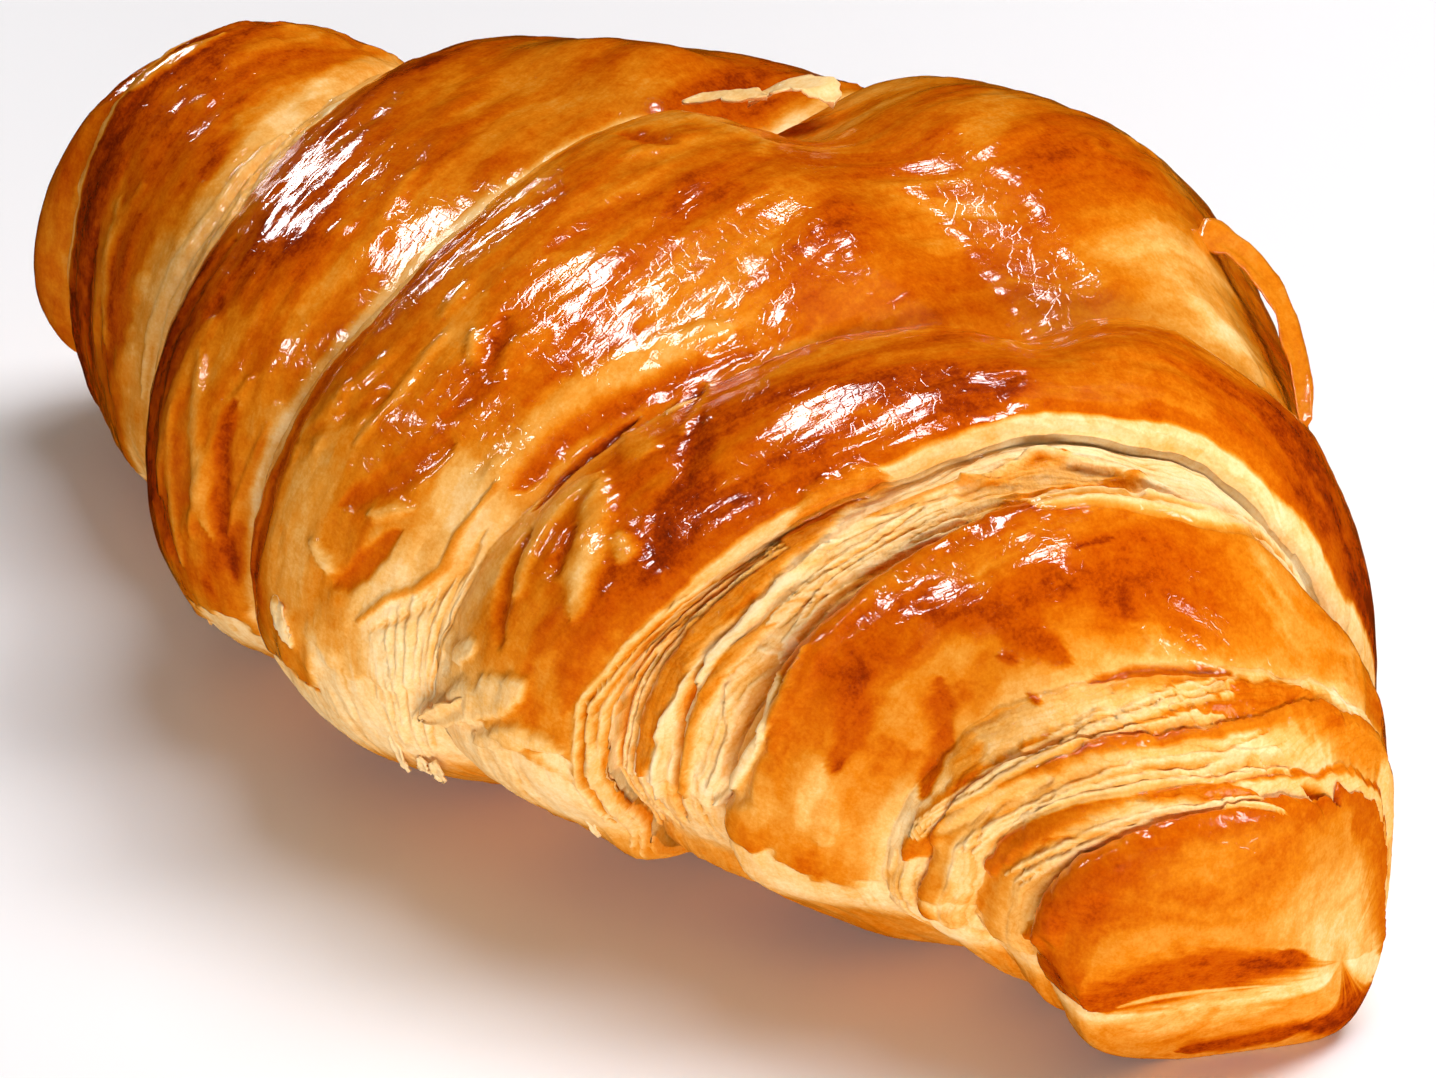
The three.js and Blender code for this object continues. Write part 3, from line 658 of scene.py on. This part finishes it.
    def leave(self, mark):
        """Raise and tone the skin along a mark."""
        places = np.array(mark.line, float)
        margin = mark.width + 1
        low_x, low_angle = places.min(axis=0)
        high_x, high_angle = places.max(axis=0)
        mean_x, middle = places.mean(axis=0)
        girth = section_size(HALF_WIDTH, mean_x / HALF_LENGTH)
        turn = (self.degrees - (high_angle + low_angle) / 2 + 180) % 360 - 180
        near = np.abs(turn) < (high_angle - low_angle) / 2 + math.degrees(margin / girth)
        near &= (self.x > low_x - margin) & (self.x < high_x + margin)
        if not near.any():
            return
        x, degrees = self.x[near], self.degrees[near]
        gap = np.full(x.shape, np.inf)
        along = np.zeros(x.shape)
        for i in range(len(places) - 1):
            distance, share = line_gap(x, degrees, places[i], places[i + 1], girth)
            nearer = distance < gap
            gap = np.where(nearer, distance, gap)
            along = np.where(nearer, (i + share) / (len(places) - 1), along)
        bulge = np.sqrt(np.clip(4 * along * (1 - along), 0, 1))
        half = mark.width / 2 * (MARK_END + (1 - MARK_END) * bulge)
        wander = FINE(x / 1.7 + middle, degrees / 4, mark.width) + 0.5 * FINE(x / 0.8, degrees / 1.8, middle)
        gap = gap + MARK_WANDER * mark.width * wander
        cover = smooth_step(half * (1 + mark.soft), half * (1 - mark.soft), gap)
        self.raised[near] += mark.rise * cover
        self.tone[near] += mark.change * cover
        if mark.tone is not None:
            self.tone[near] += (mark.tone - self.tone[near]) * cover * MARK_COVER
        if mark.torn is not None:
            self.torn[near] += (mark.torn - self.torn[near]) * cover

    def wrinkle(self):
        """Small relief: puffed and wrinkled skin, and thin sheets that overlap where dough is torn."""
        x, y, z, along, torn = self.x, self.y, self.z, self.along, self.torn
        puff = self.grain(FINE, PUFF_GRAIN, 2)
        fine = self.grain(STREAK, FINE_GRAIN, 2)
        wavy = self.grain(STREAK, WAVE_GRAIN, 1)
        skin = (1 - torn) * (0.17 * puff + 0.07 * fine + 0.08 * wavy)

        # Sheets of uneven thickness that merge and part again
        self.strata = (along + 0.9 * STREAK(x / 5, y / 13 + 3, z / 13) + 0.2 * fine) / SHEET_WIDTH
        sheet = self.strata - np.floor(self.strata)
        depth = smooth_step(-0.5, 0.5, PATCH(x / 6 + 4, y / 10, z / 10))
        crevice = smooth_step(0.10, 0.0, np.abs(STREAK(along / 1.8 + 7, y / 16, z / 16)))
        steps = (0.04 + 0.12 * depth) * (sheet ** 2 - 0.4)
        layers = torn * (steps + 0.12 * fine + 0.1 * puff - 0.3 * crevice * depth)
        self.raised = self.raised + skin + layers
        # painted shade: the tone is darker in the deep crevices and at the low foot of each sheet, below the
        # step above
        self.tone = self.tone + torn * (0.2 * crevice * depth + 0.07 * depth * smooth_step(0.3, 0.0, sheet))
        self.tone = np.clip(self.tone + (1 - torn) * 0.05 * puff, LIGHTEST, DARKEST)

    def places(self):
        """Every point in space, in millimetres."""
        return body_point(self.x + self.shift, np.broadcast_to(self.row_angles, self.x.shape), self.raised)


BLISTERS = 150
BLISTER_X = (-68, 70)
BLISTER_ANGLES = (-12, 200)
BLISTER_LENGTHS = (1.5, 9.0)
RAISED_SHARE = 0.6        # share that are raised and paler, where the others are sunk and darker


def scattered_blisters():
    """Thin blisters and scorched pits all over the wraps."""
    draw = np.random.default_rng(7)
    blisters = []
    for _ in range(BLISTERS):
        x = draw.uniform(*BLISTER_X)
        degrees = draw.uniform(*BLISTER_ANGLES)
        length = draw.uniform(*BLISTER_LENGTHS)
        width = draw.uniform(0.8, 1.4) * (0.8 + 0.2 * length)
        lean = 0.25 + draw.normal(0, 0.35)
        turn = math.degrees(length / GIRTH_RADIUS) / 2
        line = ((x - lean * length / 2, degrees - turn), (x + lean * length / 2, degrees + turn))
        raised = draw.uniform() < RAISED_SHARE
        rise = draw.uniform(0.1, 0.3) * (1 if raised else -0.7)
        change = draw.uniform(0.03, 0.1) * (-1 if raised else 1)
        blisters.append(Mark(line, width, rise, soft=draw.uniform(0.5, 0.95), change=change))
    return blisters


def ribbons():
    """The ribbons of every bunch, each a little out of line with its neighbours."""
    draw = np.random.default_rng(19)
    marks = []
    for bunch in BUNCHES:
        left, right = np.array(bunch.left, float), np.array(bunch.right, float)
        for i in range(bunch.count):
            share = (i + 0.5 + draw.normal(0, 0.25, (len(left), 1))) / bunch.count
            line = left + (right - left) * share
            line[-1, 1] += draw.normal(0, 4)
            width = bunch.width * draw.uniform(0.7, 1.3)
            marks.append(Mark(line.tolist(), width, bunch.rise * draw.uniform(0.6, 1.3), bunch.tone, 0.35))
            gap = line + (right - left) * 0.5 / bunch.count
            gap_tone = bunch.between + draw.uniform(-0.12, 0.12)
            marks.append(Mark(gap.tolist(), width * 0.6, -bunch.rise, gap_tone))
    return marks


def skin_faces(rings, rows):
    """Quads between the rings, and the fans that close both tips."""
    point = np.arange(rings * rows).reshape(rings, rows)
    following = np.roll(point, -1, axis=1)
    quads = np.stack([point[:-1], point[1:], following[1:], following[:-1]], axis=-1).reshape(-1, 4)
    far_fan = [(point.size, a, b) for a, b in zip(point[0].tolist(), following[0].tolist())]
    near_fan = [(point.size + 1, b, a) for a, b in zip(point[-1].tolist(), following[-1].tolist())]
    return quads.tolist() + far_fan + near_fan


FIELDS = ("tone", "torn", "strata", "along")    # values at the vertices that the material reads


def add_object(name, data):
    """A new object in the scene."""
    added = bpy.data.objects.new(name, data)
    bpy.context.scene.collection.objects.link(added)
    return added


def add_mesh(name, vertices, faces, material, fields):
    """A new mesh object with values at its vertices for its material."""
    mesh = bpy.data.meshes.new(name)
    mesh.from_pydata(vertices, [], faces)
    for field, values in fields.items():
        attribute = mesh.attributes.new(field, "FLOAT", "POINT")
        attribute.data.foreach_set("value", np.ascontiguousarray(values, dtype=np.float32))
    mesh.shade_smooth()
    mesh.materials.append(material)
    return add_object(name, mesh)


def make_croissant(material):
    skin = Skin()
    centre = np.array(0.0)
    tips = [body_point(np.array(x), centre, centre) for x in (-HALF_LENGTH, HALF_LENGTH)]
    vertices = np.concatenate([skin.places().reshape(-1, 3), tips]) * MM
    fields = {}
    for name in FIELDS:
        values = getattr(skin, name).reshape(-1)
        fields[name] = np.concatenate([values, values[:1], values[-1:]])
    return add_mesh("croissant_skin", vertices.tolist(), skin_faces(*skin.x.shape), material, fields)


# Loose flakes and shreds

@dataclass
class Flake:
    """A thin flake of crust or shred of dough that stands off the skin."""
    line: tuple           # places down its middle: X, angle in degrees, height over the smooth body
    width: float
    tone: float
    curl: float = 0.0     # how far its sides are lifted over its middle
    torn: float = 0.0
    tilt: float = 0.0     # how far one side is lifted over the middle and the other let down


FLAKES = [
    # Pale flakes in the notch behind the flap
    Flake(((-8, 94, -0.2), (-5, 96, 0.3), (-1.5, 97, 0.4)), 1.8, 0.2, 0.3, 0.3),
    Flake(((-4.5, 99, -1.2), (-2.5, 101, 0.3), (0.4, 102, 0.8), (2.4, 102, -0.5)), 3.4, 0.16, 0.4, 0.3),
    # Flake that stands off the back shoulder
    Flake(((31, 129, 0.0), (35, 134, 1.5), (39, 139, 1.5), (43.5, 141, 0.1), (48, 140, -1.4)),
          1.6, 0.6, 0.2, 0.0, 0.9),
    # Shreds that hang under the front
    Flake(((-0.3, -19, 0.2), (-0.7, -26, 0.9), (-0.9, -32, 1.6)), 0.8, 0.08, 0.1, 0.5),
    Flake(((1.4, -25, 0.2), (1.1, -29, 0.8), (0.9, -32, 0.9)), 0.9, 0.1, 0.2, 0.5),
    Flake(((2.8, -25, 0.2), (2.5, -29, 0.8), (2.2, -33, 1.0)), 1.1, 0.12, 0.2, 0.5),
    Flake(((17.4, -23, 0.2), (17.6, -29, 0.9), (17.3, -34, 1.5)), 0.5, 0.1, 0.1, 0.5),
    Flake(((-30, -20, 0.1), (-30.6, -26, 0.6), (-30.8, -31, 0.9)), 1.3, 0.26, 0.2, 0.5),
    # Ragged flakes at the foot of the middle wrap
    Flake(((4.4, -10, 0.0), (8.4, -4, 0.6), (12.6, 0, 0.6)), 2.2, 0.22, 0.3, 0.5),
    Flake(((9.4, -10, -0.2), (13.4, -5, 0.6), (17.0, -3, 0.3)), 2.0, 0.24, 0.3, 0.5),
    Flake(((-11.2, 3, 0.8), (-9.8, 0, 1.4), (-9, -2, 1.2)), 1.4, 0.12, 0.2, 0.3),
]
FLAKE_LINES = 26      # mesh lines down a flake
FLAKE_ROWS = 9        # and across it
FLAKE_THICKNESS = 0.22
FLAKE_POINT = 0.05    # half its width at both ends
FLAKE_RAGS = 0.5      # how far its edges are ragged, as a share of its width
FLAKE_WAVE = 0.25     # height of its waves
FLAKE_SEED = 3.1      # keeps the noise of the flakes apart


def flake_side(flake, seed, lift):
    """Points of one side of a flake, with ragged edges."""
    places = np.array(flake.line, float)
    share = np.linspace(0, 1, FLAKE_LINES)
    knots = np.linspace(0, 1, len(places))
    x, degrees, height = (np.interp(share, knots, places[:, i]) for i in range(3))
    run_x, run_turn = np.gradient(x), np.gradient(np.radians(degrees)) * GIRTH_RADIUS
    length = np.hypot(run_x, run_turn)
    side_x, side_turn = -run_turn / length, run_x / length
    across = np.linspace(-1, 1, FLAKE_ROWS)[None, :]
    body = flake.width / 2 * (1 - np.abs(2 * share - 1) ** 3) ** 0.6 + FLAKE_POINT
    noise = FINE(share[:, None] * 9 + seed, np.sign(across) * 3, 0.5)
    ragged = 1 + FLAKE_RAGS * noise * np.abs(across) ** 2
    reach = body[:, None] * ragged * across
    wave = FLAKE_WAVE * PATCH(share[:, None] * 4 + seed, across * 1.5, 2.5)
    raised = height[:, None] + flake.curl * across ** 2 + flake.tilt * ragged * across + wave + lift
    turned = np.radians(degrees[:, None]) + side_turn[:, None] * reach / GIRTH_RADIUS
    return body_point(x[:, None] + side_x[:, None] * reach, turned, raised)


def flake_faces():
    """Quads of both sides of a flake, and of the rim that joins them."""
    point = np.arange(FLAKE_LINES * FLAKE_ROWS).reshape(FLAKE_LINES, FLAKE_ROWS)
    top = np.stack([point[:-1, :-1], point[1:, :-1], point[1:, 1:], point[:-1, 1:]], axis=-1).reshape(-1, 4)
    sides = np.stack([top, top[:, ::-1] + point.size], axis=1).reshape(-1, 4)
    rim = np.concatenate([point[0], point[1:, -1], point[-1, -2::-1], point[-2:0:-1, 0]])
    following = np.roll(rim, -1)
    band = np.stack([rim, following, following + point.size, rim + point.size], axis=-1)
    return np.concatenate([sides, band])


def make_flakes(material):
    vertices, faces, tones, torn = [], [], [], []
    for number, flake in enumerate(FLAKES):
        faces += (flake_faces() + len(vertices)).tolist()
        for lift in (FLAKE_THICKNESS, 0.0):
            points = flake_side(flake, number * FLAKE_SEED, lift).reshape(-1, 3)
            vertices += (points * MM).tolist()
            tones += [flake.tone] * len(points)
            torn += [flake.torn] * len(points)
    along = np.array(vertices)[:, 0] / MM
    fields = dict(zip(FIELDS, (tones, torn, along, along)))
    return add_mesh("crust_flakes", vertices, faces, material, fields)


# Materials

def srgb(*screen):
    """Colour from its 0 to 255 screen values."""
    shares = [value / 255 for value in screen]
    return (*(s / 12.92 if s <= 0.04045 else ((s + 0.055) / 1.055) ** 2.4 for s in shares), 1.0)


CRUST_TONES = [
    (0.00, srgb(255, 230, 184)),
    (0.14, srgb(253, 214, 152)),
    (0.30, srgb(243, 182, 98)),
    (0.45, srgb(231, 151, 52)),
    (0.58, srgb(222, 126, 18)),
    (0.70, srgb(207, 100, 5)),
    (0.82, srgb(190, 76, 2)),
    (0.92, srgb(150, 48, 2)),
    (1.00, srgb(112, 32, 4)),
]

# Relief too fine for the mesh, in millimetres
CRACKLE_HEIGHT = 0.006
WRINKLE_HEIGHT = 0.034
PORE_HEIGHT = 0.008       # in the glaze
PORES_BELOW = (0.01, 0.13)   # more of them below it, where the crust is whole and where it is torn
LAYER_HEIGHT = 0.05
CRACK_BEND = 1.6          # how far the cracks are bent out of straight lines
GRAIN_STRETCH = 0.2       # waves along the wraps for each wave across them
LAYER_FOOT_SHADE = 0.05         # how much darker the foot of each thin layer's step is, as painted shade under the step above


class Nodes:
    """Short calls for building a material's node tree."""

    def __init__(self, material):
        material.use_nodes = True
        self.tree = material.node_tree
        self.tree.nodes.clear()

    def add(self, kind, inputs=None, **settings):
        node = self.tree.nodes.new(kind)
        for key, value in settings.items():
            setattr(node, key, value)
        for key, value in (inputs or {}).items():
            if isinstance(value, bpy.types.NodeSocket):
                self.tree.links.new(value, node.inputs[key])
            else:
                node.inputs[key].default_value = value
        return node

    def attribute(self, name):
        return self.add("ShaderNodeAttribute", attribute_name=name).outputs["Fac"]

    def math(self, operation, first, second=0.0):
        return self.add("ShaderNodeMath", {0: first, 1: second}, operation=operation).outputs[0]

    def times(self, first, second):
        return self.math("MULTIPLY", first, second)

    def spread(self, value, low, high, to_low, to_high):
        inputs = {"Value": value, "From Min": low, "From Max": high, "To Min": to_low, "To Max": to_high}
        return self.add("ShaderNodeMapRange", inputs).outputs["Result"]

    def noise(self, vector, scale, detail=3.0, roughness=0.55):
        inputs = {"Vector": vector, "Scale": scale, "Detail": detail, "Roughness": roughness}
        return self.add("ShaderNodeTexNoise", inputs).outputs["Fac"]

    def sum(self, *values):
        total = values[0]
        for value in values[1:]:
            total = self.math("ADD", total, value)
        return total


def crust_material():
    material = bpy.data.materials.new("baked_crust")
    nodes = Nodes(material)
    tone, torn, strata, along = (nodes.attribute(name) for name in FIELDS)
    metres = nodes.add("ShaderNodeTexCoord").outputs["Object"]
    place = nodes.add("ShaderNodeVectorMath", {0: metres, "Scale": 1 / MM}, operation="SCALE").outputs[0]
    axes = nodes.add("ShaderNodeSeparateXYZ", {"Vector": place}).outputs

    # Fine streaks along the wraps, mottling and pale specks in the browning
    stretched = nodes.add("ShaderNodeCombineXYZ", {
        "X": along,
        "Y": nodes.times(axes["Y"], GRAIN_STRETCH),
        "Z": nodes.times(axes["Z"], GRAIN_STRETCH),
    }).outputs["Vector"]
    streaks = nodes.noise(stretched, scale=1.6)
    mottle = nodes.noise(place, scale=0.8, detail=4.0, roughness=0.65)
    specks = nodes.noise(place, scale=3.4, detail=2.0, roughness=0.6)
    shade = nodes.sum(
        tone,
        nodes.spread(streaks, 0.25, 0.75, -0.04, 0.04),
        nodes.spread(mottle, 0.3, 0.7, -0.07, 0.06),
        nodes.spread(specks, 0.35, 0.65, 0.03, -0.03),
    )

    # Thin sheets in the torn dough, with painted shade along the foot of each sheet's step
    sheet = nodes.math("FRACT", nodes.times(strata, 2.0))
    line = nodes.spread(sheet, 0.0, 0.25, 1.0, 0.0)
    shade = nodes.sum(shade, nodes.times(nodes.times(line, torn), LAYER_FOOT_SHADE))
    ramp = nodes.add("ShaderNodeValToRGB", {"Fac": shade})
    elements = ramp.color_ramp.elements
    while len(elements) < len(CRUST_TONES):
        elements.new(0.5)
    for element, (position, colour) in zip(elements, CRUST_TONES):
        element.position = position
        element.color = colour

    # Fine relief, and a smoother one for the glaze
    bend = nodes.add("ShaderNodeTexNoise", {"Vector": place, "Scale": 0.6, "Detail": 2.0}).outputs["Color"]
    inputs = {0: bend, 1: (CRACK_BEND,) * 3, 2: place}
    bent = nodes.add("ShaderNodeVectorMath", inputs, operation="MULTIPLY_ADD").outputs[0]
    cells = nodes.add("ShaderNodeTexVoronoi", {"Vector": bent, "Scale": 0.8}, feature="DISTANCE_TO_EDGE")
    crackle = nodes.spread(cells.outputs["Distance"], 0.0, 0.07, 0.0, 1.0)
    pores = nodes.noise(place, scale=2.4, roughness=0.6)
    wrinkles = nodes.noise(stretched, scale=2.2, detail=2.0, roughness=0.5)
    gloss_height = nodes.sum(
        nodes.times(crackle, CRACKLE_HEIGHT),
        nodes.times(wrinkles, WRINKLE_HEIGHT),
        nodes.times(pores, PORE_HEIGHT),
    )
    height = nodes.sum(
        gloss_height,
        nodes.times(pores, nodes.spread(torn, 0.0, 1.0, *PORES_BELOW)),
        nodes.times(nodes.times(sheet, torn), LAYER_HEIGHT),
    )
    bump = nodes.add("ShaderNodeBump", {"Strength": 1.0, "Distance": MM, "Height": height})
    gloss_bump = nodes.add("ShaderNodeBump", {"Strength": 1.0, "Distance": MM, "Height": gloss_height})

    # Egg wash shines on the brown skin, and torn dough is matt
    glazed = nodes.times(nodes.spread(tone, 0.3, 0.5, 0.4, 1.0), nodes.math("SUBTRACT", 1.0, torn))
    inputs = {
        "Base Color": ramp.outputs["Color"],
        "Roughness": 0.55,
        "Specular IOR Level": 0.0,
        "Coat Weight": glazed,
        "Coat Roughness": 0.08,
        "Coat IOR": 1.5,
        "Normal": bump.outputs["Normal"],
        "Coat Normal": gloss_bump.outputs["Normal"],
    }
    shader = nodes.add("ShaderNodeBsdfPrincipled", inputs)
    nodes.add("ShaderNodeOutputMaterial", {"Surface": shader.outputs["BSDF"]})
    return material


def floor_material():
    material = bpy.data.materials.new("pale_floor")
    nodes = Nodes(material)
    shader = nodes.add("ShaderNodeBsdfPrincipled", {"Base Color": srgb(250, 250, 255), "Roughness": 0.5})
    nodes.add("ShaderNodeOutputMaterial", {"Surface": shader.outputs["BSDF"]})
    return material


# Floor, light and camera

FOCAL_PIXELS = 5253.0
PHOTO_WIDTH = 1436
SENSOR_WIDTH = 36.0   # millimetres
CLIP_START = 0.01
CAMERA_AZIMUTH = math.radians(44.07)
CAMERA_ELEVATION = math.radians(34.13)
CAMERA_DISTANCE = 0.450
CAMERA_TARGET = Vector((0.00943, -0.01041, 0.0234))
FLOOR_REACH = 3.0     # metres from its middle to each side


def direction(azimuth, elevation):
    """Unit vector from the object towards a viewpoint. Azimuth 0 is the front and 90 the near tip."""
    flat = math.cos(elevation)
    return Vector((math.sin(azimuth) * flat, -math.cos(azimuth) * flat, math.sin(elevation)))


def make_floor():
    corners = [(x * FLOOR_REACH, y * FLOOR_REACH, 0) for x, y in ((-1, -1), (1, -1), (1, 1), (-1, 1))]
    floor = add_mesh("floor", corners, [(0, 1, 2, 3)], floor_material(), {})
    floor.visible_glossy = False


ROOM_COLOUR = (1.0, 0.84, 0.58, 1.0)
ROOM_STRENGTH = 0.1
LIGHT_DISTANCE = 0.9
LIGHT_TARGET = Vector((0, 0, 0.03))

# Soft light on the roll: name, direction towards it, sides of the panel, watts, colour
SOFT_LIGHTS = [
    ("window", (0.28, 0.43, 0.86), (0.3, 0.3), 5.2, (1.0, 0.99, 0.98)),
    ("skylight", (0.08, 0.16, 0.98), (0.35, 0.35), 3.6, (0.99, 0.99, 1.0)),
    ("fill", (0.76, -0.64, 0.09), (0.7, 0.13), 6.4, (1.0, 0.97, 0.93)),
]

# Bright panes seen only in the glaze: name, direction towards it, sides, watts
PANES = [
    ("pane_above", (-0.23, -0.16, 0.96), (0.46, 0.13), 5.2),
    ("pane_far", (-0.93, 0.22, 0.30), (0.28, 0.09), 2.0),
    ("pane_right", (0.95, 0.12, 0.20), (0.14, 0.36), 2.4),
    ("pane_near", (0.45, -0.37, 0.81), (0.20, 0.14), 2.2),
    ("pane_back", (-0.20, 0.36, 0.90), (0.10, 0.10), 0.9),
    ("pane_front", (-0.40, -0.80, 0.46), (0.10, 0.10), 0.8),
    ("pane_tip", (0.12, -0.82, 0.54), (0.10, 0.08), 0.9),
]


def make_light(name, towards, size, power, colour=(1, 1, 1)):
    """A panel that shines on the roll from a direction."""
    light = bpy.data.lights.new(name, "AREA")
    light.shape = "RECTANGLE"
    light.size, light.size_y = size
    light.energy = power
    light.color = colour
    lamp = add_object(name, light)
    towards = Vector(towards).normalized()
    lamp.location = LIGHT_TARGET + towards * LIGHT_DISTANCE
    lamp.rotation_mode = "QUATERNION"
    lamp.rotation_quaternion = towards.to_track_quat("Z", "Y")
    return lamp


def make_lighting():
    world = bpy.data.worlds.new("soft_room")
    world.use_nodes = True
    background = world.node_tree.nodes["Background"]
    background.inputs["Color"].default_value = ROOM_COLOUR
    background.inputs["Strength"].default_value = ROOM_STRENGTH
    world.cycles_visibility.glossy = False
    bpy.context.scene.world = world
    for name, towards, size, power, colour in SOFT_LIGHTS:
        make_light(name, towards, size, power, colour).visible_glossy = False
    for name, towards, size, power in PANES:
        make_light(name, towards, size, power).visible_diffuse = False


def make_camera():
    camera = bpy.data.cameras.new("camera")
    camera.sensor_width = SENSOR_WIDTH
    camera.lens = SENSOR_WIDTH * FOCAL_PIXELS / PHOTO_WIDTH
    camera.clip_start = CLIP_START
    viewer = add_object("camera", camera)
    back = direction(CAMERA_AZIMUTH, CAMERA_ELEVATION)
    right = Vector((math.cos(CAMERA_AZIMUTH), math.sin(CAMERA_AZIMUTH), 0))
    up = back.cross(right)
    turn = Matrix((right, up, back)).transposed().to_4x4()
    viewer.matrix_world = Matrix.Translation(CAMERA_TARGET + back * CAMERA_DISTANCE) @ turn
    bpy.context.scene.camera = viewer


# The scene

make_camera()
make_floor()
make_lighting()
bpy.context.scene.view_settings.view_transform = "Standard"

crust = crust_material()
skin_piece = make_croissant(crust)
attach(skin_piece, "root")
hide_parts("croissant")
flake_piece = make_flakes(crust)
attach(flake_piece, "root")
